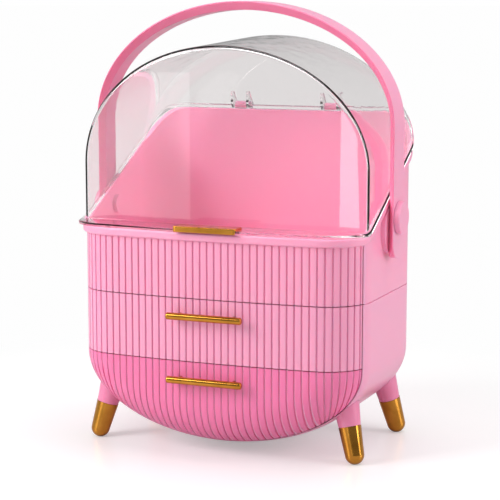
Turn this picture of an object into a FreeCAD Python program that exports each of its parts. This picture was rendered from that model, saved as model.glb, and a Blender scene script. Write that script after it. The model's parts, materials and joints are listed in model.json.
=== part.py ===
import FreeCAD, Part
import math
import os
from FreeCAD import Vector

# A makeup storage case: a tub under a clear hinged lid, two wrap-round drawers in a
# U-shaped housing, a swinging carrying handle and four splayed legs.
# Millimetres. X runs across the case, -Y is its front, +Z is up. The feet stand on
# z = 0. While the pieces are made, y = 0 is halfway between the flat front and back
# of the case; placeY then centres the whole object's box on the origin.

# Outline of the case
caseWidth = 276.0
caseDepth = 184.0
frontBow = 4.0            # how far the middle of the front stands out
edgeRadius = 42.0         # round of the front and back edges, all along the U
bellyZ = 8.5             # lowest point of the U
bellyHeight = 77.0        # height of its rounded part

# Levels of the seams and the rim
lowerSeamZ = 88.0         # between the two drawers
upperSeamZ = 146.0        # between the housing and the tub
seamGap = 0.9
seamDepth = 0.9           # of the line that carries the upper seam round the sides and back
rimFrontZ = 205.5
rimBackZ = 304.0
rimFrontY = -64.0         # where the rim starts to climb
rimBendY = 65.0           # where it turns steeper
rimBendZ = 275.5
rimTopY = 88.0            # where it is level again
rimRounds = (25.0, 40.0, 14.0)

# Walls
housingWall = 2.8
tubWall = 3.0
rimHeight = 8.0
rimOverhang = 3.5
rimEdgeRound = 2.4
skirtHeight = 3.5         # lip of the tub that drops inside the housing
skirtWall = 2.0
skirtFrontY = -55.0

# Flutes of the fronts
grooveCount = 43
grooveWidth = 1.5
grooveDepth = 1.3

# Drawers
fitGap = 0.6              # between a drawer front and the housing's edge
frontWall = 3.6
frontBackY = -60.0        # where the drawer fronts' wings end
trayInset = 12.0          # from the case's outline to the trays
trayRearInset = 20.0
trayWall = 2.2
trayDrop = 6.0            # from the seam above a drawer down to its tray's rim
upperTrayFloorZ = 92.0
flangeGap = 2.2           # between a tray's flange and the housing's wall
flangeWall = 2.0
flangeFrontY = -50.0
railWidth = 6.2
railWall = 3.0
railFrontY = -57.0
railRearY = 54.0
runningGap = 0.3
stopWidth = 1.5
stopLength = 3.0
stopHeight = 4.0
drawerTravel = 100.0
stopSlack = 0.5
earLength = 6.0

# Screws
screwRadius = 2.0
pullScrewRadius = 1.4
screwPlay = 0.25          # round a shank in the pieces that it only passes through
headRatio = 2.0           # a head's radius to its shank's
headHeightRatio = 1.2     # a head's height to its shank's radius

# Pulls of the drawers
pullLength = 73.0
pullRadius = 3.3
pullEndRound = 1.9
pullBelowSeam = 15.8      # from the seam above a drawer down to its pull
pullStandoff = 8.2        # from the front's middle to the bar's centre line
postSpacing = 52.0
postRadius = 2.3
bossRadius = 4.2
postSeat = 0.1            # between a pull's post and the drawer's face
bossSeat = 0.1            # between a front's boss and its tray
headSeat = 0.15           # between a screw's head and the tray's wall

# Legs
legX = 127.0              # centres of the feet's round ends
legFrontY = -59.5
legRearY = 63.0
splayX = 0.247            # how far a leg leans out for each mm of its drop
splayY = 0.154
footRadius = 8.7
footFlat = 0.4            # the round end is flattened by this much where it stands
capLength = 25.5          # from the round end's centre to the cap's top
capTopRadius = 10.3
capWall = 1.2
capGap = 0.1
legStep = 0.3             # the leg is this much slimmer than the cap
legRootRadius = 11.6
legBossRadius = 6.5
legBossRise = 6.0         # the screw's seat above the case's outline, along the leg
legScrewDepth = 18.0

# Tub screws
tubScrewX = 60.0
tubScrewY = 81.0
tubScrewLength = 19.0
tubBossRadius = 5.0
tubBossLength = 20.0
tubBossWeb = 3.0          # wall that ties a boss to the housing's back

# Handle
handleY = -4.0
pivotZ = 215.6
handleInner = 142.2       # half of the width between its legs
handleWall = 5.4
handleTopWall = 8.0       # it is thicker at the top of the arch
handleWidth = 31.0
handleSlant = 5.5         # its inner face is this much narrower at each edge
handleRim = 1.0           # width of the edge that stays square beside the outer face
handleEdgeBevel = 0.8
handleSpringZ = 298.0     # where its legs become the arch
handleTopZ = 408.0
handleFootZ = 178.7
endRoundRest = 0.1        # flat left between the two rounds of a leg's end
pivotRadius = 5.0
pivotGap = 0.05
buttonRadius = 14.8
buttonWall = 5.2
buttonRound = 1.4
padRadius = 22.0          # pad on the tub's side that carries the pivot
padDrop = 11.0            # from the pivot down to the pad's centre
nutRadius = 8.5
nutWall = 4.0

# Lid
lidWall = 2.5
lidHalfWidth = 138.6
lidFrontInset = 24.0      # from the case's front to the lid's front pane
lidSpringZ = 263.0        # these two heights are half-way along the lid
lidTopZ = 372.4
lidClimb = 0.05           # its arch climbs this much for each mm towards the back
lidFrontRadius = 4.5
lidBackRadius = 23.0
lidSeat = 0.3             # gap between the lid and the rim
lipHeight = 3.0
lipFront = 7.0            # how far the lip stands out at the front
lipRadius = 38.0
lipBevel = 1.3

# Lid pull
lidPullLength = 60.5
lidPullProud = 1.3        # how far it stands in front of the lip
lidPullHeight = 5.4
lidPullRise = 0.4         # from the rim up to the pull
lidPullOverlap = 15.0     # it reaches this far back over the lip
lidPullCorner = 3.0
lidPullRound = 1.0

# Lid hinges
hingeX = 47.0
hingeY = 100.0
hingeZ = 306.0
earSpacing = 19.0         # outer face to outer face
earWall = 2.6
earHeight = 14.0
earTop = 3.2              # how far its top stands off the lid
earRadius = 5.2
knuckleRadius = 4.4
knuckleGap = 0.4          # beside and around a knuckle
hingePinRadius = 1.6
hingePinGap = 0.05
hingePinProud = 0.5       # beyond the ears' outer faces
knuckleRootTop = 2.2      # from the pin's axis down to the top of the root
knuckleRootDrop = 6.0     # from the knuckle's underside down to where the root slopes off

halfWidth = caseWidth / 2
halfDepth = caseDepth / 2
bellyTopZ = bellyZ + bellyHeight
far = 400.0

bowReach = halfWidth - edgeRadius
bowRadius = (bowReach ** 2 + frontBow ** 2) / (2 * frontBow)
bowCentreY = bowRadius - halfDepth - frontBow

drawerInset = housingWall + fitGap
lipFrontY = -halfDepth - frontBow - lipFront
lidPullFrontY = lipFrontY - lidPullProud
pullFrontY = -halfDepth - frontBow - pullStandoff - pullRadius
hingeBackY = hingeY + earRadius
placeY = -(min(pullFrontY, lidPullFrontY) + hingeBackY) / 2


def box(x0, x1, y0, y1, z0, z1):
    return Part.makeBox(x1 - x0, y1 - y0, z1 - z0, Vector(x0, y0, z0))


def rod(radius, start, direction, length):
    return Part.makeCylinder(radius, length, start, direction)


def fuse(shapes):
    shape = shapes[0].fuse(list(shapes[1:]))
    return shape.removeSplitter()


def flipped(shape):
    """The same shape on the other side of the case's middle plane."""
    return shape.mirror(Vector(0, 0, 0), Vector(1, 0, 0))


def bothSides(shape):
    return [shape, flipped(shape)]


def archWire(half, springZ, height, endZ):
    """A half ellipse on two straight legs in the XZ plane; height < 0 hangs it down."""
    centre = Vector(0, 0, springZ)
    curve = Part.Ellipse(Vector(half, 0, springZ), Vector(0, 0, springZ + height), centre)
    arc = curve.toShape(0, math.pi)
    first = arc.valueAt(arc.FirstParameter)
    last = arc.valueAt(arc.LastParameter)
    lastEnd = Vector(last.x, 0, endZ)
    firstEnd = Vector(first.x, 0, endZ)
    legs = [Part.makeLine(last, lastEnd), Part.makeLine(lastEnd, firstEnd), Part.makeLine(firstEnd, first)]
    return Part.Wire([arc] + legs)


def alongY(wire, y0, y1, climb=0.0):
    face = Part.Face(wire)
    face.translate(Vector(0, y0, climb * y0))
    return face.extrude(Vector(0, y1 - y0, climb * (y1 - y0)))


def isOutline(edge):
    """Whether an edge follows the outline at the front or back, and isn't on the flat end."""
    return edge.BoundBox.YLength < edgeRadius and edge.BoundBox.ZLength > 1


def pillow(block, frontInset, rearInset, frontRadius, rearRadius):
    """A block that ends at its rear inset, with a bowed front and round front and back edges."""
    frontY = -halfDepth - frontBow + frontInset
    rearY = halfDepth - rearInset
    bow = rod(bowRadius, Vector(0, frontY + bowRadius, -far), Vector(0, 0, 1), 3 * far)
    solid = block.common(bow)
    fronts = [edge for edge in solid.Edges if isOutline(edge) and edge.BoundBox.YMax < 0]
    solid = solid.makeFillet(frontRadius, fronts)
    rears = [edge for edge in solid.Edges if isOutline(edge) and edge.BoundBox.YMin > rearY - 0.01]
    return solid.makeFillet(rearRadius, rears)


def caseSolid(inset, topZ=far, rearInset=None):
    """The case's outline with every face moved in by inset."""
    rear = inset if rearInset is None else rearInset
    wire = archWire(halfWidth - inset, bellyTopZ, inset - bellyHeight, topZ)
    radius = edgeRadius - inset
    return pillow(alongY(wire, -far, halfDepth - rear), inset, rear, radius, radius)


def lipSolid():
    wire = archWire(halfWidth + rimOverhang, bellyTopZ, -bellyHeight, far)
    block = alongY(wire, -far, halfDepth + rimOverhang)
    return pillow(block, -lipFront, -rimOverhang, lipRadius, edgeRadius)


def lidSolid(inset):
    wire = archWire(lidHalfWidth - inset, lidSpringZ, lidTopZ - lidSpringZ - inset, 0)
    block = alongY(wire, -halfDepth - frontBow, halfDepth - inset, lidClimb)
    return pillow(block, lidFrontInset + inset, inset, lidFrontRadius - inset, lidBackRadius - inset)


def uPrism(inset, y0, y1):
    """The U of the case, moved in by inset and drawn straight along Y."""
    return alongY(archWire(halfWidth - inset, bellyTopZ, inset - bellyHeight, far), y0, y1)


def below(rise):
    """Everything under the rim's side profile, raised by rise."""
    corners = [(-far, -far), (far, -far), (far, rimBackZ), (rimTopY, rimBackZ)]
    corners += [(rimBendY, rimBendZ), (rimFrontY, rimFrontZ), (-far, rimFrontZ)]
    points = [Vector(-far, y, z + (rise if z > 0 else 0)) for y, z in corners]
    solid = Part.Face(Part.makePolygon(points + points[:1])).extrude(Vector(2 * far, 0, 0))
    for y, radius in zip((rimFrontY, rimBendY, rimTopY), rimRounds):
        edges = [edge for edge in solid.Edges
                 if abs(edge.BoundBox.YMin - y) < 0.5 and edge.BoundBox.XLength > far]
        solid = solid.makeFillet(radius, edges)
    return solid


def edgesOn(shape, first, second):
    """The edges of shape that lie on the skins of both other shapes."""
    found = []
    for edge in shape.Edges:
        middle = Part.Vertex(edge.valueAt((edge.FirstParameter + edge.LastParameter) / 2))
        if all(skin.Shells[0].distToShape(middle)[0] < 0.01 for skin in (first, second)):
            found.append(edge)
    return found


def slab(z0, z1):
    return box(-far, far, -far, far, z0, z1)


def grooves(z0, z1, depth):
    """Upright grooves, evenly spaced along the front and round its corners."""
    centreY = bowCentreY - math.sqrt((bowRadius - edgeRadius) ** 2 - bowReach ** 2)
    startAngle = math.asin(bowReach / (bowRadius - edgeRadius))
    bowLength = bowRadius * startAngle
    endAngle = math.asin((halfWidth - housingWall - bowReach) / edgeRadius)
    pitch = (bowLength + edgeRadius * (endAngle - startAngle)) / (grooveCount / 2)
    outward = edgeRadius / 4
    inward = edgeRadius * 0.9  # short of the round's centre, where the blades would meet
    blades = []
    for index in range(grooveCount):
        along = (index - (grooveCount - 1) / 2) * pitch
        side = math.copysign(1, along)
        if abs(along) < bowLength:
            angle = abs(along) / bowRadius
            x = bowRadius * math.sin(angle)
            y = bowCentreY - bowRadius * math.cos(angle)
        else:
            angle = startAngle + (abs(along) - bowLength) / edgeRadius
            x = bowReach + edgeRadius * math.sin(angle)
            y = centreY - edgeRadius * math.cos(angle)
        blade = box(-grooveWidth / 2, grooveWidth / 2, -outward, inward, z0, z1)
        blade.rotate(Vector(0, 0, 0), Vector(0, 0, 1), math.degrees(angle) * side)
        blade.translate(Vector(x * side, y, 0))
        blades.append(blade)
    return Part.makeCompound(blades).cut(caseSolid(depth))


def largest(shape):
    return max(shape.Solids, key=lambda solid: solid.Volume)


def halfAt(z, inset):
    """Half of the width that the U, moved in by inset, has at height z."""
    half = halfWidth - inset
    drop = max(bellyTopZ - z, 0) / (bellyHeight - inset)
    return half * math.sqrt(1 - drop ** 2)


flutes = grooves(0, rimFrontZ - rimHeight, grooveDepth)


def screw(radius, seat, direction, length):
    """A pan-head screw whose head stands on seat; its shank runs along direction."""
    headRadius = headRatio * radius
    headHeight = headHeightRatio * radius
    head = rod(headRadius, seat, -direction, headHeight)
    rims = [edge for edge in head.Edges if edge.Length > 6 * headRadius]
    rims = [edge for edge in rims if (edge.CenterOfMass - seat).Length > headHeight / 2]
    head = head.makeFillet(headHeight / 2, rims)
    return head.fuse(rod(radius, seat, direction, length)).removeSplitter()


# Housing: a U-shaped shell, open to the front and the top, with a rail on each side
# for each drawer, a seat for each leg's screw and two bosses for the tub's screws.

def trayTopZ(seamZ):
    return seamZ - trayDrop


def legAxis(sideX, sideY):
    """The centre of a leg's round end, and the direction up the leg."""
    up = Vector(-sideX * splayX, -sideY * splayY, 1)
    up.normalize()
    footY = legFrontY if sideY < 0 else legRearY
    return Vector(sideX * legX, footY, footRadius - footFlat), up


def legMeetsCase(foot, up):
    """How far up the leg its centre line meets the case's outline."""
    line = Part.makeLine(foot, foot + up * 120)
    inside = line.common(caseSolid(0))
    return min((vertex.Point - foot).Length for vertex in inside.Vertexes)


legPlaces = [(sideX, sideY) for sideY in (-1, 1) for sideX in (-1, 1)]


def housing():
    outer = caseSolid(0, upperSeamZ - seamGap).fuse(caseSolid(seamDepth, upperSeamZ))
    hollow = caseSolid(housingWall).fuse(uPrism(housingWall, -far, 0))
    extras = []
    for seamZ in (lowerSeamZ, upperSeamZ):
        railTop = trayTopZ(seamZ) - flangeWall - runningGap
        railX = halfAt(railTop - railWall, housingWall) - railWidth
        rail = box(railX, halfWidth, railFrontY, railRearY, railTop - railWall, railTop)
        stopX = halfAt(railTop, housingWall) - stopWidth
        stop = box(stopX, halfWidth, railFrontY, railFrontY + stopLength, railTop, railTop + stopHeight)
        for piece in (rail, stop):
            extras += bothSides(piece)
    bossZ = upperSeamZ - tubBossLength
    boss = rod(tubBossRadius, Vector(tubScrewX, tubScrewY, bossZ), Vector(0, 0, 1), tubBossLength)
    webTop = upperSeamZ - skirtHeight - runningGap
    web = box(tubScrewX - tubBossWeb / 2, tubScrewX + tubBossWeb / 2, tubScrewY, halfDepth - 1, bossZ, webTop)
    extras += bothSides(boss) + bothSides(web)
    seats = []
    holes = []
    for sideX, sideY in legPlaces:
        foot, up = legAxis(sideX, sideY)
        meets = legMeetsCase(foot, up)
        seats.append(rod(legBossRadius, foot, up, meets + legBossRise))
        holes.append(rod(screwRadius + screwPlay, foot, up, meets + legBossRise + 1))
    for sideX in (-1, 1):
        holes.append(rod(screwRadius, Vector(sideX * tubScrewX, tubScrewY, upperSeamZ + 1),
                         Vector(0, 0, -1), tubScrewLength))
    skin = caseSolid(housingWall / 2, upperSeamZ)
    inner = fuse(extras + seats).common(skin)
    return outer.cut(hollow).fuse(inner).cut(Part.makeCompound(holes)).removeSplitter()


# Tub: a tray with a fluted front and a climbing rim, which carries the handle's
# pivots and the lid's hinges.

def rimBand():
    outline = caseSolid(-rimOverhang)
    band = outline.common(below(0)).cut(below(-rimHeight)).Solids[0]
    edges = edgesOn(band, outline, below(0)) + edgesOn(band, outline, below(-rimHeight))
    return band.makeFillet(rimEdgeRound, edges)


def knuckle(sideX):
    half = earSpacing / 2 - earWall - knuckleGap
    x = sideX * hingeX
    barrel = rod(knuckleRadius, Vector(x - half, hingeY, hingeZ), Vector(1, 0, 0), 2 * half)
    rootZ = hingeZ - knuckleRadius - knuckleRootDrop
    root = box(x - half, x + half, halfDepth - 1, hingeY, rootZ, hingeZ - knuckleRootTop)
    slope = box(x - half, x + half, halfDepth - 1, halfDepth + hingeY, rootZ - hingeY, rootZ)
    slope.rotate(Vector(x, halfDepth, rootZ), Vector(1, 0, 0), 45)
    return barrel.fuse(root).cut(slope).removeSplitter()


def tub():
    wall = caseSolid(0).common(below(-rimHeight / 2)).common(slab(upperSeamZ, far))
    shell = wall.fuse(rimBand())
    pad = rod(padRadius, Vector(halfWidth - 1, handleY, pivotZ - padDrop), Vector(1, 0, 0),
              handleInner - runningGap - halfWidth + 1)
    pad = pad.common(below(-rimHeight / 2))
    shell = shell.fuse(bothSides(pad))
    shell = shell.fuse([knuckle(-1), knuckle(1)])
    hollow = caseSolid(tubWall).common(slab(upperSeamZ + tubWall, far))
    skirtInset = housingWall + runningGap
    skirt = caseSolid(skirtInset).cut(caseSolid(skirtInset + skirtWall))
    skirt = skirt.common(box(-far, far, skirtFrontY, far, upperSeamZ - skirtHeight, upperSeamZ))
    shell = shell.cut(hollow).fuse(skirt)
    border = box(halfWidth - drawerInset, halfWidth - housingWall, -far, 0, upperSeamZ, rimFrontZ - rimHeight)
    holes = [flutes] + bothSides(border.cut(caseSolid(grooveDepth)))
    holes.append(rod(pivotRadius, Vector(-far, handleY, pivotZ), Vector(1, 0, 0), 2 * far))
    for sideX in (-1, 1):
        start = Vector(sideX * tubScrewX, tubScrewY, upperSeamZ - 1)
        holes.append(rod(screwRadius + screwPlay, start, Vector(0, 0, 1), tubWall + 2))
    bore = hingePinRadius + hingePinGap
    holes.append(rod(bore, Vector(-far, hingeY, hingeZ), Vector(1, 0, 0), 2 * far))
    for hole in holes:
        shell = shell.cut(hole)
    return shell.removeSplitter()


def tubScrews():
    seatZ = upperSeamZ + tubWall
    return [screw(screwRadius, Vector(sideX * tubScrewX, tubScrewY, seatZ), Vector(0, 0, -1), tubScrewLength)
            for sideX in (-1, 1)]


# Drawers: each has a fluted front that wraps round the corners, and a tray behind it
# that hangs on the housing's rails by its flanges.

def drawerBand(seamZ, floorZ):
    top = seamZ - (seamGap if seamZ == upperSeamZ else seamGap / 2)
    return slab(floorZ, top)


def pullZ(seamZ):
    return seamZ - pullBelowSeam


def postPlaces(seamZ):
    return [Vector(sideX * postSpacing / 2, 0, pullZ(seamZ)) for sideX in (-1, 1)]


def frontFaceY(x, inset=0):
    return bowCentreY - math.sqrt((bowRadius - inset) ** 2 - x ** 2)


def pullScrewHole(place):
    return rod(pullScrewRadius + screwPlay, Vector(place.x, -far, place.z), Vector(0, 1, 0), far)


def drawerFront(seamZ, floorZ):
    front = caseSolid(0).cut(caseSolid(frontWall))
    front = front.common(uPrism(drawerInset, -far, frontBackY)).common(drawerBand(seamZ, floorZ))
    trayY = frontFaceY(postSpacing / 2, trayInset)
    holes = []
    for place in postPlaces(seamZ):
        start = Vector(place.x, -halfDepth, place.z)
        front = front.fuse(rod(bossRadius, start, Vector(0, 1, 0), trayY - bossSeat + halfDepth))
        holes.append(pullScrewHole(place))
    return largest(front.cut(flutes).cut(Part.makeCompound(holes)).removeSplitter())


def drawerTray(seamZ, floorZ):
    topZ = trayTopZ(seamZ)
    outer = caseSolid(trayInset, far, trayRearInset).common(slab(floorZ, topZ))
    hollow = caseSolid(trayInset + trayWall, far, trayRearInset + trayWall)
    hollow = hollow.common(slab(floorZ + trayWall, far))
    wallX = halfAt(topZ - flangeWall, housingWall)
    half = wallX - flangeGap
    earFront = railFrontY + stopLength + drawerTravel + stopSlack
    flange = box(-half, half, flangeFrontY, earFront + earLength, topZ - flangeWall, topZ)
    earHalf = wallX - fitGap
    ears = box(-earHalf, earHalf, earFront, earFront + earLength, topZ - flangeWall, topZ)
    tray = outer.fuse([flange, ears]).cut(hollow)
    for place in postPlaces(seamZ):
        tray = tray.cut(pullScrewHole(place))
    return tray.removeSplitter()


def drawerPull(seamZ):
    y = -halfDepth - frontBow - pullStandoff
    z = pullZ(seamZ)
    half = pullLength / 2
    bar = rod(pullRadius, Vector(-half, y, z), Vector(1, 0, 0), pullLength)
    ends = [edge for edge in bar.Edges if edge.BoundBox.XLength < 0.01]
    bar = bar.makeFillet(pullEndRound, ends)
    posts = []
    holes = []
    for place in postPlaces(seamZ):
        faceY = frontFaceY(place.x)
        start = Vector(place.x, y, z)
        posts.append(rod(postRadius, start, Vector(0, 1, 0), faceY - y - postSeat))
        holes.append(rod(pullScrewRadius, start, Vector(0, 1, 0), 2 * pullStandoff))
    return bar.fuse(posts).cut(Part.makeCompound(holes)).removeSplitter()


def pullScrews(seamZ):
    screws = []
    for place in postPlaces(seamZ):
        seatY = frontFaceY(place.x, trayInset + trayWall) + headSeat
        tipY = -halfDepth - frontBow - pullStandoff
        seat = Vector(place.x, seatY, place.z)
        screws.append(screw(pullScrewRadius, seat, Vector(0, -1, 0), seatY - tipY))
    return screws


# Legs: a splayed, tapered peg with a metal cap on its foot, and a screw that holds it
# from inside the housing.

def turned(profile, foot, up):
    """A solid turned about the leg's centre line from (radius, height) points."""
    points = [Vector(radius, 0, height) for radius, height in profile]
    solid = Part.Face(Part.makePolygon(points + points[:1])).revolve(Vector(0, 0, 0), Vector(0, 0, 1), 360)
    solid.Placement = FreeCAD.Placement(foot, FreeCAD.Rotation(Vector(0, 0, 1), up))
    return solid


def footCap(foot, up):
    """The cap's outer form: a ball under a cone, flattened at the floor."""
    cone = turned([(0, 0), (footRadius, 0), (capTopRadius, capLength), (0, capLength)], foot, up)
    ball = Part.makeSphere(footRadius, foot)
    return cone.fuse(ball).removeSplitter().common(slab(0, far))


def capBore(foot, up, gap):
    lower = footRadius - capWall - gap
    upper = capTopRadius - capWall - gap
    return turned([(0, gap), (lower, gap), (upper, capLength), (0, capLength)], foot, up)


def legCap(sideX, sideY):
    foot, up = legAxis(sideX, sideY)
    return footCap(foot, up).cut(capBore(foot, up, 0))


def leg(sideX, sideY):
    foot, up = legAxis(sideX, sideY)
    meets = legMeetsCase(foot, up)
    end = meets + 2 * legRootRadius
    root = legRootRadius + (legRootRadius - capTopRadius) * (end - meets) / (meets - capLength)
    profile = [(0, capLength), (capTopRadius - legStep, capLength), (root, end), (0, end)]
    body = largest(turned(profile, foot, up).cut(caseSolid(0)))
    body = body.fuse(capBore(foot, up, capGap)).removeSplitter()
    return body.cut(rod(screwRadius, foot + up * (meets - legScrewDepth), up, legScrewDepth * 2))


def legScrews():
    screws = []
    for sideX, sideY in legPlaces:
        foot, up = legAxis(sideX, sideY)
        meets = legMeetsCase(foot, up)
        seat = foot + up * (meets + legBossRise)
        screws.append(screw(screwRadius, seat, -up, legBossRise + legScrewDepth))
    return screws


# Handle: a flat strap bent into an arch, which swings on a pin at each side.

def handleWire(outset, topOutset, endZ, y):
    """The handle's inner arch, moved out by outset at its sides and topOutset at its top."""
    height = handleTopZ - handleTopWall - handleSpringZ + topOutset
    wire = archWire(handleInner + outset, handleSpringZ, height, endZ)
    wire.translate(Vector(0, y, 0))
    return wire


def handle():
    y0 = handleY - handleWidth / 2
    outer = alongY(handleWire(handleWall, handleTopWall, handleFootZ, 0), y0, y0 + handleWidth)
    strap = outer.cut(alongY(handleWire(0, 0, 0, 0), y0 - 1, y0 + handleWidth + 1))
    ends = [edge for edge in strap.Edges if edge.BoundBox.ZMax < handleFootZ + 0.01
            and edge.BoundBox.YLength < 0.01]
    strap = strap.makeFillet(handleWidth / 2 - endRoundRest, ends)
    outerHalf = handleInner + handleWall
    rims = [edge for edge in strap.Edges if edge.BoundBox.ZLength > 1
            and max(abs(edge.BoundBox.XMin), abs(edge.BoundBox.XMax)) > outerHalf - 0.01]
    strap = strap.makeChamfer(handleEdgeBevel, rims)
    wide = handleWire(handleWall - handleRim, handleTopWall - handleRim, 0, y0)
    slant = Part.makeLoft([wide, handleWire(0, 0, 0, y0 + handleSlant)], True, True)
    strap = strap.cut([slant, slant.mirror(Vector(0, handleY, 0), Vector(0, 1, 0))])
    bore = rod(pivotRadius + pivotGap, Vector(-far, handleY, pivotZ), Vector(1, 0, 0), 2 * far)
    return strap.cut(bore).removeSplitter()


def pivotPin():
    """The pin at the right: its flange presses the tub's wall from inside."""
    innerX = halfWidth - tubWall
    start = Vector(innerX - nutWall, handleY, pivotZ)
    length = handleInner + handleWall + runningGap - start.x
    return rod(pivotRadius, start, Vector(1, 0, 0), length)


def pivotNut():
    innerX = halfWidth - tubWall
    start = Vector(innerX - nutWall, handleY, pivotZ)
    nut = rod(nutRadius, start, Vector(1, 0, 0), nutWall)
    return nut.cut(rod(pivotRadius, start, Vector(1, 0, 0), nutWall))


def pivotButton():
    start = Vector(handleInner + handleWall + runningGap, handleY, pivotZ)
    disc = rod(buttonRadius, start, Vector(1, 0, 0), buttonWall)
    rim = [edge for edge in disc.Edges if edge.BoundBox.XMin > start.x + buttonWall - 0.01]
    return disc.makeFillet(buttonRound, rim)


# Lid: a clear arch with a bevelled lip all round its foot, a metal pull on the front lip
# and two pairs of ears at the back that hold the hinge pins.

def lidLip():
    outline = lipSolid()
    top = below(lidSeat + lipHeight)
    band = outline.common(top).cut(below(lidSeat)).Solids[0]
    return band.makeChamfer(lipBevel, edgesOn(band, outline, top))


def lidEars(sideX):
    wallY = halfDepth - lidWall / 2
    outline = [(wallY, hingeZ), (wallY, hingeZ + earHeight), (halfDepth + earTop, hingeZ + earHeight)]
    outline.append((hingeY + earRadius, hingeZ))
    ears = []
    for start in (-earSpacing / 2, earSpacing / 2 - earWall):
        x = sideX * hingeX + start
        points = [Vector(x, y, z) for y, z in outline]
        arm = Part.Face(Part.makePolygon(points + points[:1])).extrude(Vector(earWall, 0, 0))
        ears.append(rod(earRadius, Vector(x, hingeY, hingeZ), Vector(1, 0, 0), earWall).fuse(arm))
    return ears


def lidDome():
    dome = lidSolid(0).cut(below(lidSeat)).fuse(lidLip()).cut(lidSolid(lidWall))
    pieces = [dome]
    clear = []
    for sideX in (-1, 1):
        pieces += lidEars(sideX)
        half = earSpacing / 2 - earWall
        x = sideX * hingeX
        reach = knuckleRadius + knuckleGap
        clear.append(box(x - half, x + half, halfDepth, far, 0, hingeZ + reach))
    dome = fuse(pieces)
    for gap in clear:
        dome = dome.cut(gap)
    return dome.cut(rod(hingePinRadius, Vector(-far, hingeY, hingeZ), Vector(1, 0, 0), 2 * far))


def hingePin(sideX):
    start = Vector(sideX * hingeX - earSpacing / 2 - hingePinProud, hingeY, hingeZ)
    return rod(hingePinRadius, start, Vector(1, 0, 0), earSpacing + 2 * hingePinProud)


def lidPull():
    z0 = rimFrontZ + lidPullRise
    half = lidPullLength / 2
    bar = box(-half, half, lidPullFrontY, lipFrontY + lidPullOverlap, z0, z0 + lidPullHeight)
    corners = [edge for edge in bar.Edges
               if edge.BoundBox.ZLength > 1 and edge.BoundBox.YMax < lidPullFrontY + 1]
    bar = bar.makeFillet(lidPullCorner, corners)
    rims = [edge for edge in bar.Edges if edge.BoundBox.ZLength < 0.01 and edge.BoundBox.YMin < lipFrontY - 1]
    bar = bar.makeFillet(lidPullRound, rims)
    return bar.cut(lidLip())


nodes = {
    "housing": [housing()],
    "tub": [tub()],
    "tub_screws": tubScrews(),
    "leg_screws": legScrews(),
    "handle": [handle()],
    "pivot_pin_right": [pivotPin()],
    "pivot_pin_left": [flipped(pivotPin())],
    "pivot_nut_right": [pivotNut()],
    "pivot_nut_left": [flipped(pivotNut())],
    "pivot_button_right": [pivotButton()],
    "pivot_button_left": [flipped(pivotButton())],
    "lid_dome": [lidDome()],
    "lid_pull": [lidPull()],
    "hinge_pin_right": [hingePin(1)],
    "hinge_pin_left": [hingePin(-1)],
}

for sideX, sideY in legPlaces:
    place = ("front" if sideY < 0 else "rear") + ("_left" if sideX < 0 else "_right")
    nodes["leg_" + place] = [leg(sideX, sideY)]
    nodes["leg_cap_" + place] = [legCap(sideX, sideY)]

for name, seamZ, frontFloorZ, trayFloorZ in (
        ("upper", upperSeamZ, lowerSeamZ + seamGap / 2, upperTrayFloorZ),
        ("lower", lowerSeamZ, -far, -far)):
    nodes[name + "_drawer_front"] = [drawerFront(seamZ, frontFloorZ)]
    nodes[name + "_drawer_tray"] = [drawerTray(seamZ, trayFloorZ)]
    nodes[name + "_drawer_pull"] = [drawerPull(seamZ)]
    nodes[name + "_pull_screws"] = pullScrews(seamZ)

os.makedirs("parts", exist_ok=True)
for name, solids in nodes.items():
    shape = solids[0] if len(solids) == 1 else Part.makeCompound(solids)
    shape.translate(Vector(0, placeY, 0))
    shape.exportStep("parts/" + name + ".step")
    print(name, len(shape.Solids), round(shape.Volume / 1000, 2), shape.isValid())
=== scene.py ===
import json
import math

import bpy
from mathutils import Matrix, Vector

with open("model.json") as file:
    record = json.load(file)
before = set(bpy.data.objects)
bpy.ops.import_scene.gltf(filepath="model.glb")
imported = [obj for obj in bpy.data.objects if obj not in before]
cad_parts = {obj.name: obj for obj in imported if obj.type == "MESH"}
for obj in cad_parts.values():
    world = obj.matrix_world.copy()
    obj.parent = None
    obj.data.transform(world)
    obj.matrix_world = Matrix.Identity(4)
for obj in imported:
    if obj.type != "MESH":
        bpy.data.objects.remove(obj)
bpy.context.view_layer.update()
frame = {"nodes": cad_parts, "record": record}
nodes = frame["nodes"]
print("frame loaded:", len(nodes), "nodes")

mm = 0.001              # one millimetre in metres
noiseSpan = (0.25, 0.75)  # where most of a noise's values lie
fineDetail = 3.0        # octaves of the finer noises
bounced = 0.5           # between no bounce and one


def linearColor(hexCode, alpha=1.0):
    channels = []
    for start in (0, 2, 4):
        value = int(hexCode[start:start + 2], 16) / 255
        channels.append(value / 12.92 if value <= 0.04045 else ((value + 0.055) / 1.055) ** 2.4)
    return (*channels, alpha)


def addNode(tree, kind, settings=None, inputs=None):
    node = tree.nodes.new(kind)
    for name, value in (settings or {}).items():
        setattr(node, name, value)
    for name, value in (inputs or {}).items():
        if isinstance(value, bpy.types.NodeSocket):
            tree.links.new(value, node.inputs[name])
        else:
            node.inputs[name].default_value = value
    return node


def newMaterial(name):
    material = bpy.data.materials.new(name)
    material.use_nodes = True
    tree = material.node_tree
    tree.nodes.clear()
    output = addNode(tree, "ShaderNodeOutputMaterial")
    return material, tree, output


def objectPoint(tree):
    return addNode(tree, "ShaderNodeTexCoord").outputs["Object"]


def noise(tree, sizeMm, detail=2.0, roughness=0.5, stretch=None):
    point = objectPoint(tree)
    if stretch:
        scaled = addNode(tree, "ShaderNodeVectorMath", {"operation": "MULTIPLY"}, {0: point, 1: stretch})
        point = scaled.outputs[0]
    return addNode(tree, "ShaderNodeTexNoise", {"noise_dimensions": "3D"},
                   {"Vector": point, "Scale": 1 / (sizeMm * mm), "Detail": detail, "Roughness": roughness})


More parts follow.
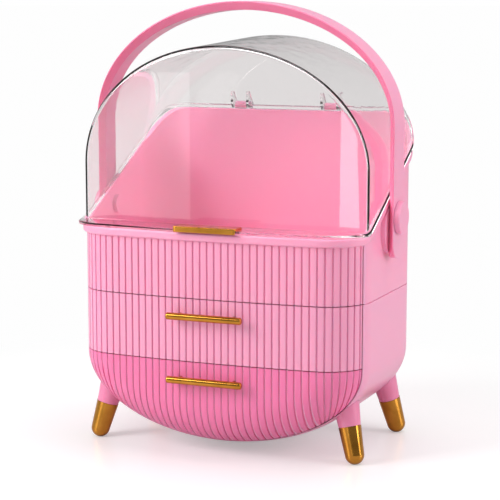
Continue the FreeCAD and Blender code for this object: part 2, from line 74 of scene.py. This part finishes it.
def calc(tree, operation, *values):
    return addNode(tree, "ShaderNodeMath", {"operation": operation}, dict(enumerate(values))).outputs[0]


def between(tree, value, low, high, smooth=False):
    # 0 at low, 1 at high
    kind = "SMOOTHSTEP" if smooth else "LINEAR"
    return addNode(tree, "ShaderNodeMapRange", {"interpolation_type": kind},
                   {"Value": value, "From Min": low, "From Max": high}).outputs["Result"]


def spread(tree, value, low, high):
    # a noise, stretched from low to high
    ranged = addNode(tree, "ShaderNodeMapRange", {}, {
        "Value": value, "From Min": noiseSpan[0], "From Max": noiseSpan[1], "To Min": low, "To Max": high})
    return ranged.outputs["Result"]


def shaded(tree, color, factor):
    # the colour, made lighter or darker by a factor around 1
    mixed = addNode(tree, "ShaderNodeHueSaturation", {}, {"Color": color, "Value": factor})
    return mixed.outputs["Color"]


def bumped(tree, heights):
    # each height is (0..1 value, depth in mm); the bumps are chained
    normal = None
    for value, depthMm in heights:
        inputs = {"Height": value, "Distance": depthMm * mm, "Strength": 1.0}
        if normal is not None:
            inputs["Normal"] = normal
        normal = addNode(tree, "ShaderNodeBump", {}, inputs).outputs["Normal"]
    return normal


def mixColor(tree, factor, first, second):
    mixed = addNode(tree, "ShaderNodeMix", {"data_type": "RGBA"})
    tree.links.new(factor, mixed.inputs["Factor"])
    for name, value in (("A", first), ("B", second)):
        socket = [item for item in mixed.inputs if item.name == name and item.type == "RGBA"][0]
        if isinstance(value, bpy.types.NodeSocket):
            tree.links.new(value, socket)
        else:
            socket.default_value = value
    return [item for item in mixed.outputs if item.type == "RGBA"][0]


fluteValues = {
    # the fluted front, as the solids have it, in mm
    "middleY": 1.15,        # the case's middle in this frame
    "bowRadius": 1154.0,
    "cornerX": 96.0,       # centre of the round corner
    "cornerY": -49.85,
    "cornerRadius": 42.0,
    "bowEndX": 99.63,      # where the bow meets the round
    "pitch": 6.822,
    "lastAngle": 1.2,      # radians round the corner to the last flute's edge
    "topZ": 197.5,
    "grooveHalf": 0.115,   # half of a groove, as a part of the pitch; this band gets the painted light
    "facing": 0.5,         # how squarely a face looks out to count as the front
    "swellPower": 3,       # a flute's face is flat in its middle and turns near its edges
    "swell": 0.75,         # how strongly each flute's face swells
}


def fluteShape(tree):
    # the tilt that rounds each flute, and a mask of the grooves, where light is painted
    values = fluteValues
    scaled = addNode(tree, "ShaderNodeVectorMath", {"operation": "SCALE"}, {
        0: objectPoint(tree), "Scale": 1 / mm})
    x, y, z = addNode(tree, "ShaderNodeSeparateXYZ", {}, {0: scaled.outputs[0]}).outputs
    side = calc(tree, "SIGN", x)
    out = calc(tree, "ABSOLUTE", x)
    back = calc(tree, "SUBTRACT", values["cornerY"] + values["middleY"], y)
    corner = calc(tree, "ARCTAN2", calc(tree, "SUBTRACT", out, values["cornerX"]), back)
    bow = calc(tree, "DIVIDE", out, values["bowRadius"])
    turned = calc(tree, "GREATER_THAN", out, values["bowEndX"])
    startAngle = math.asin(values["bowEndX"] / values["bowRadius"])
    bent = calc(tree, "MULTIPLY_ADD", calc(tree, "SUBTRACT", corner, startAngle), values["cornerRadius"],
                startAngle * values["bowRadius"])
    along = addNode(tree, "ShaderNodeMix", {"data_type": "FLOAT"}, {0: turned, 2: out, 3: bent}).outputs[0]
    angle = addNode(tree, "ShaderNodeMix", {"data_type": "FLOAT"}, {0: turned, 2: bow, 3: corner}).outputs[0]
    place = calc(tree, "SUBTRACT", calc(tree, "FRACT", calc(tree, "DIVIDE", along, values["pitch"])), 0.5)
    cosine = calc(tree, "COSINE", angle)
    sine = calc(tree, "SINE", angle)
    tangent = addNode(tree, "ShaderNodeCombineXYZ", {}, {
        0: calc(tree, "MULTIPLY", side, cosine), 1: sine}).outputs[0]
    outward = addNode(tree, "ShaderNodeCombineXYZ", {}, {
        0: calc(tree, "MULTIPLY", side, sine), 1: calc(tree, "MULTIPLY", cosine, -1)}).outputs[0]
    normal = addNode(tree, "ShaderNodeTexCoord").outputs["Normal"]
    facing = addNode(tree, "ShaderNodeVectorMath", {"operation": "DOT_PRODUCT"}, {
        0: normal, 1: outward}).outputs["Value"]
    zone = calc(tree, "LESS_THAN", z, values["topZ"])
    zone = calc(tree, "MULTIPLY", zone, calc(tree, "LESS_THAN", angle, values["lastAngle"]))
    zone = calc(tree, "MULTIPLY", zone, calc(tree, "LESS_THAN", y, values["cornerY"] + values["middleY"]))
    front = calc(tree, "MULTIPLY", zone, calc(tree, "GREATER_THAN", facing, values["facing"]))
    edge = calc(tree, "ABSOLUTE", place)
    grooveLightMask = calc(tree, "MULTIPLY", zone, calc(tree, "GREATER_THAN", edge, 0.5 - values["grooveHalf"]))
    swell = calc(tree, "POWER", calc(tree, "MULTIPLY", edge, 2), values["swellPower"])
    swell = calc(tree, "MULTIPLY", swell, calc(tree, "SIGN", place))
    amount = calc(tree, "MULTIPLY", calc(tree, "MULTIPLY", swell, front), values["swell"])
    tilt = addNode(tree, "ShaderNodeVectorMath", {"operation": "SCALE"}, {
        0: tangent, "Scale": amount}).outputs[0]
    tilt = addNode(tree, "ShaderNodeVectorTransform", {
        "vector_type": "VECTOR", "convert_from": "OBJECT", "convert_to": "WORLD"}, {0: tilt}).outputs[0]
    return tilt, grooveLightMask


plasticValues = {
    "pink": "FAA6C6",
    "deepPink": "F77FB0",
    "shadedEdgePink": "FF8DB2",  # the handle's narrow edges, a deeper pink as painted shade
    "edgeShadeFrom": (0.3, 0.6),
    "legPink": "EE8DB2",
    # painted light: a lighter, bluer pink that lifts the shade in the grooves
    "grooveLitPink": "FBAFD0",
    "cloudMm": 60.0,       # size of the faint clouds in the colour
    "cloud": 0.006,        # how much they lighten and darken it
    "roughness": (0.29, 0.32),
    "satin": (0.38, 0.5),  # roughness of the pieces inside
    "roughMm": 51.0,
    "ior": 1.49,
    "specular": 0.45,
    "subsurface": 0.35,    # light that soaks in and makes the grooves and seams glow red
    "soakMm": 3.0,
    "soak": (1.0, 0.3, 0.42),
    "wavinessMm": 30.0,    # slow sink marks of the moulding
    "wavinessDepthMm": 0.008,
    "grainMm": 0.35,       # fine mould texture
    "grainDepthMm": 0.0015,
    "edgeRoundMm": 0.45,   # how round the sharp edges shade
    "edgeSamples": 6,
    "coat": 0.15,
    "coatRoughness": 0.12,
}


def plastic(name, hexCode, roughness=None, coat=None, edgeShadeColor=None, fluted=False):
    values = plasticValues
    material, tree, output = newMaterial(name)
    cloud = noise(tree, values["cloudMm"]).outputs["Fac"]
    cloud = spread(tree, cloud, 1 - values["cloud"], 1 + values["cloud"])
    color = linearColor(hexCode)
    # painted shade: faces turned to the front or back are mixed to a deeper pink
    if edgeShadeColor:
        direction = addNode(tree, "ShaderNodeTexCoord").outputs["Normal"]
        facing = addNode(tree, "ShaderNodeSeparateXYZ", {}, {0: direction}).outputs["Y"]
        shadeMask = between(tree, calc(tree, "ABSOLUTE", facing), *values["edgeShadeFrom"])
        color = mixColor(tree, shadeMask, color, linearColor(edgeShadeColor))
    low, high = roughness or values["roughness"]
    rough = spread(tree, noise(tree, values["roughMm"], fineDetail).outputs["Fac"], low, high)
    waves = noise(tree, values["wavinessMm"]).outputs["Fac"]
    grain = noise(tree, values["grainMm"], fineDetail).outputs["Fac"]
    normal = addNode(tree, "ShaderNodeBevel", {"samples": values["edgeSamples"]}, {
        "Radius": values["edgeRoundMm"] * mm}).outputs["Normal"]
    if fluted:
        tilt, grooveLightMask = fluteShape(tree)
        # painted light: the grooves are mixed to a lighter pink
        color = mixColor(tree, grooveLightMask, color, linearColor(values["grooveLitPink"]))
        tilted = addNode(tree, "ShaderNodeVectorMath", {"operation": "ADD"}, {0: normal, 1: tilt}).outputs[0]
        normal = addNode(tree, "ShaderNodeVectorMath", {"operation": "NORMALIZE"}, {0: tilted}).outputs[0]
    for height, depthMm in ((waves, values["wavinessDepthMm"]), (grain, values["grainDepthMm"])):
        normal = addNode(tree, "ShaderNodeBump", {}, {"Height": height, "Distance": depthMm * mm,
                                                      "Normal": normal}).outputs["Normal"]
    shader = addNode(tree, "ShaderNodeBsdfPrincipled", {}, {
        "Base Color": shaded(tree, color, cloud), "Roughness": rough, "Normal": normal, "IOR": values["ior"],
        "Specular IOR Level": values["specular"], "Coat Weight": values["coat"] if coat is None else coat,
        "Coat Roughness": values["coatRoughness"], "Subsurface Weight": values["subsurface"],
        "Subsurface Radius": values["soak"], "Subsurface Scale": values["soakMm"] * mm})
    tree.links.new(shader.outputs[0], output.inputs["Surface"])
    return material


goldValues = {
    "light": "D6973F",
    "dark": "B87D2E",
    "roughness": (0.1, 0.14),
    "polishMm": 0.25,      # width of the polishing lines
    "polishDepthMm": 0.0002,
    "polishRoughness": 0.6,
    "polishStretch": (0.05, 1, 1),
    "cloudMm": 14.0,
    "roughMm": 8.4,
}


def goldPlating(name):
    values = goldValues
    material, tree, output = newMaterial(name)
    cloud = spread(tree, noise(tree, values["cloudMm"], fineDetail).outputs["Fac"], 0, 1)
    color = mixColor(tree, cloud, linearColor(values["light"]), linearColor(values["dark"]))
    rough = spread(tree, noise(tree, values["roughMm"], fineDetail).outputs["Fac"], *values["roughness"])
    lines = noise(tree, values["polishMm"], roughness=values["polishRoughness"],
                  stretch=values["polishStretch"]).outputs["Fac"]
    normal = bumped(tree, [(lines, values["polishDepthMm"])])
    shader = addNode(tree, "ShaderNodeBsdfPrincipled", {}, {
        "Base Color": color, "Metallic": 1.0, "Roughness": rough, "Normal": normal})
    tree.links.new(shader.outputs[0], output.inputs["Surface"])
    return material


steelValues = {
    "color": "B9BABC",
    "roughness": (0.24, 0.38),
    "roughMm": 3.0,
    "tint": (0.9, 1.08),
    "tintMm": 5.0,
    "turnMm": 0.3,         # marks of the turning
    "turnDepthMm": 0.002,
}


def zincSteel(name):
    values = steelValues
    material, tree, output = newMaterial(name)
    lines = noise(tree, values["turnMm"]).outputs["Fac"]
    rough = spread(tree, noise(tree, values["roughMm"], fineDetail).outputs["Fac"], *values["roughness"])
    tint = spread(tree, noise(tree, values["tintMm"]).outputs["Fac"], *values["tint"])
    shader = addNode(tree, "ShaderNodeBsdfPrincipled", {}, {
        "Base Color": shaded(tree, linearColor(values["color"]), tint), "Metallic": 1.0, "Roughness": rough,
        "Normal": bumped(tree, [(lines, values["turnDepthMm"])])})
    tree.links.new(shader.outputs[0], output.inputs["Surface"])
    return material


acrylicValues = {
    "tint": "F0EEEE",      # what it keeps of the light that passes straight through
    "edgeTint": "DAD4D6",  # and where it is seen edge on
    "edge": (0.7, 0.93),   # how far edge on the tint changes over
    "shadow": "F1EDEE",    # light that falls through it keeps this much
    "ior": 1.49,
}


def clearAcrylic(name):
    values = acrylicValues
    material, tree, output = newMaterial(name)
    edgeOn = addNode(tree, "ShaderNodeLayerWeight").outputs["Facing"]
    color = mixColor(tree, between(tree, edgeOn, *values["edge"]), linearColor(values["tint"]),
                     linearColor(values["edgeTint"]))
    shader = addNode(tree, "ShaderNodeBsdfPrincipled", {}, {
        "Base Color": color, "Roughness": 0.0, "IOR": values["ior"], "Transmission Weight": 1.0})
    path = addNode(tree, "ShaderNodeLightPath")
    clear = addNode(tree, "ShaderNodeBsdfTransparent", {}, {"Color": linearColor(values["shadow"])})
    both = addNode(tree, "ShaderNodeMixShader", {}, {
        0: path.outputs["Is Shadow Ray"], 1: shader.outputs[0], 2: clear.outputs[0]})
    tree.links.new(both.outputs[0], output.inputs["Surface"])
    return material


slotMaterials = {
    # smooth candy pink with broad soft highlights
    "pink_gloss": plastic("Pink_Gloss_Moulded_ABS", plasticValues["pink"]),
    # the lower drawer: a stronger pink, each flute light on one side and dark on the other, with painted
    # light in the grooves
    "deep_pink_gloss": plastic("Deep_Pink_Fluted_Gloss_ABS", plasticValues["deepPink"], fluted=True),
    # the same pink without a shine, inside the drawers
    "pink_satin": plastic("Pink_Satin_Moulded_ABS", plasticValues["pink"], plasticValues["satin"], 0.0),
    # warm yellow metal with hard streaks of light and dark
    "gold_plated": goldPlating("Polished_Gold_Plating"),
    # almost nothing but its edges, reflections and a faint grey
    "clear_acrylic": clearAcrylic("Clear_Polished_Acrylic"),
    # dull silver with fine turned marks
    "steel": zincSteel("Zinc_Plated_Steel"),
}
nodeMaterials = {
    # the strap: pink like the case, with its narrow edges a deeper pink as painted shade
    "handle": plastic("Pink_Handle_Gloss_ABS_Shaded_Edges", plasticValues["pink"], edgeShadeColor=plasticValues["shadedEdgePink"]),
}
# the tub and the upper drawer: pale pink flutes, each light on one side and dark on the other, with painted
# light in the grooves
flutedPink = plastic("Pink_Fluted_Gloss_ABS", plasticValues["pink"], fluted=True)
# a slightly duller pink, as the legs stand in the case's shade
legPink = plastic("Pink_Leg_Gloss_ABS", plasticValues["legPink"])
for name in nodes:
    if name in ("tub", "upper_drawer_front"):
        nodeMaterials[name] = flutedPink
    elif name.startswith("leg_") and "cap" not in name and name != "leg_screws":
        nodeMaterials[name] = legPink
for entry in frame["record"]["subparts"]:
    piece = nodes[entry["node"]]
    material = nodeMaterials.get(entry["node"]) or slotMaterials[entry["material_slot"]]
    for slot in piece.material_slots:
        slot.material = material
print("materials:", len(slotMaterials) + len(nodeMaterials))

floorValues = {
    "color": "D6D5D5",
    "glow": 0.33,
    "size": 600.0,
    "roughness": 0.3,
    "far": 0.99,           # brightness of the sweep away from the case
    "near": (0.24, 0.5),   # metres from the middle over which it takes over
}


def seenStraight(tree, kinds):
    # 1 where the camera sees something, also by way of the kinds of ray named
    path = addNode(tree, "ShaderNodeLightPath")
    total = path.outputs["Is Camera Ray"]
    for kind in kinds:
        total = calc(tree, "MAXIMUM", total, path.outputs[kind])
    return calc(tree, "MULTIPLY", total, calc(tree, "LESS_THAN", path.outputs["Diffuse Depth"], bounced))


def makeFloor():
    values = floorValues
    half = values["size"] / 2
    mesh = bpy.data.meshes.new("floor")
    corners = [(-half, -half, 0), (half, -half, 0), (half, half, 0), (-half, half, 0)]
    mesh.from_pydata(corners, [], [(0, 1, 2, 3)])
    floor = bpy.data.objects.new("floor", mesh)
    bpy.context.scene.collection.objects.link(floor)
    material, tree, output = newMaterial("White_Sweep")
    body = addNode(tree, "ShaderNodeBsdfPrincipled", {}, {
        "Base Color": linearColor(values["color"]), "Roughness": values["roughness"]})
    seen = seenStraight(tree, ("Is Transmission Ray",))
    glow = addNode(tree, "ShaderNodeEmission", {}, {
        "Color": (1, 1, 1, 1), "Strength": calc(tree, "MULTIPLY", seen, values["glow"])})
    lit = addNode(tree, "ShaderNodeAddShader", {}, {0: body.outputs[0], 1: glow.outputs[0]})
    distance = addNode(tree, "ShaderNodeVectorMath", {"operation": "LENGTH"}, {0: objectPoint(tree)})
    away = between(tree, distance.outputs["Value"], *values["near"], smooth=True)
    plain = addNode(tree, "ShaderNodeEmission", {}, {"Color": (1, 1, 1, 1), "Strength": values["far"]})
    both = addNode(tree, "ShaderNodeMixShader", {}, {
        0: calc(tree, "MULTIPLY", away, seen), 1: lit.outputs[0], 2: plain.outputs[0]})
    tree.links.new(both.outputs[0], output.inputs["Surface"])
    mesh.materials.append(material)


makeFloor()

lightValues = {
    # name: (place, aimed at, width, height, power in W)
    "key": ((-1.35, -1.35, 1.2), (0, 0, 0.18), 0.9, 1.3, 32),
    "side": ((1.9, 0.2, 0.8), (0, 0, 0.15), 0.8, 1.3, 15),
    "top": ((0.1, 0.3, 1.9), (0, 0, 0.2), 1.6, 1.2, 17),
    "leftCard": ((-0.681, -0.934, 0.15), (0, 0, 0.15), 0.374, 0.3, 0.38),
    "rightStrip": ((-0.04, -1.35, 0.165), (0.125, -0.07, 0.165), 0.06, 0.33, 0.22),
}


def makeLight(name, place, target, width, height, power):
    data = bpy.data.lights.new(name, "AREA")
    data.shape = "RECTANGLE"
    data.size = width
    data.size_y = height
    data.energy = power
    light = bpy.data.objects.new(name, data)
    light.location = place
    light.rotation_mode = "QUATERNION"
    light.rotation_quaternion = (Vector(target) - Vector(place)).to_track_quat("-Z", "Y")
    bpy.context.scene.collection.objects.link(light)


for name, (place, target, width, height, power) in lightValues.items():
    makeLight(name, place, target, width, height, power)

worldValues = {
    "diffuse": 0.5,
    "mirrorFront": 0.25,   # what polished surfaces reflect from the viewer's side
    "mirrorBack": 0.38,    # and from the white sweep behind
    "behindFrom": (-0.3, 0.5),
    "seen": 1.0,
}


def makeWorld():
    values = worldValues
    world = bpy.data.worlds.new("Studio")
    bpy.context.scene.world = world
    world.use_nodes = True
    tree = world.node_tree
    tree.nodes.clear()
    direction = addNode(tree, "ShaderNodeTexCoord").outputs["Generated"]
    depth = addNode(tree, "ShaderNodeSeparateXYZ", {}, {0: direction}).outputs["Y"]
    behind = between(tree, depth, *values["behindFrom"], smooth=True)
    mirror = addNode(tree, "ShaderNodeMapRange", {}, {
        "Value": behind, "To Min": values["mirrorFront"], "To Max": values["mirrorBack"]}).outputs["Result"]
    path = addNode(tree, "ShaderNodeLightPath")
    diffuse = calc(tree, "GREATER_THAN", path.outputs["Diffuse Depth"], bounced)
    unseen = addNode(tree, "ShaderNodeMix", {"data_type": "FLOAT"}, {
        0: diffuse, 2: mirror, 3: values["diffuse"]})
    straight = seenStraight(tree, ("Is Transmission Ray",))
    level = addNode(tree, "ShaderNodeMix", {"data_type": "FLOAT"}, {
        0: straight, 2: unseen.outputs[0], 3: values["seen"]})
    sky = addNode(tree, "ShaderNodeBackground", {}, {"Color": (1, 1, 1, 1), "Strength": level.outputs[0]})
    addNode(tree, "ShaderNodeOutputWorld", {}, {"Surface": sky.outputs[0]})


makeWorld()
print("stage and lights set")

cameraValues = {
    "azimuth": 22.5,       # degrees round to the right of straight ahead
    "elevation": 8.5,
    "distance": 1.55,
    "target": (0, 0.00495, 0.1766),
    "lens": 118.8,
    "sensorMm": 36.0,
}


def makeCamera():
    values = cameraValues
    around = math.radians(values["azimuth"])
    above = math.radians(values["elevation"])
    back = Vector((math.sin(around) * math.cos(above), -math.cos(around) * math.cos(above), math.sin(above)))
    data = bpy.data.cameras.new("camera")
    data.lens = values["lens"]
    data.sensor_width = values["sensorMm"]
    camera = bpy.data.objects.new("camera", data)
    camera.location = Vector(values["target"]) + back * values["distance"]
    camera.rotation_mode = "QUATERNION"
    camera.rotation_quaternion = (-back).to_track_quat("-Z", "Y")
    bpy.context.scene.collection.objects.link(camera)
    bpy.context.scene.camera = camera


makeCamera()
print("camera set")
scene = bpy.context.scene
scene.view_settings.view_transform = "Standard"
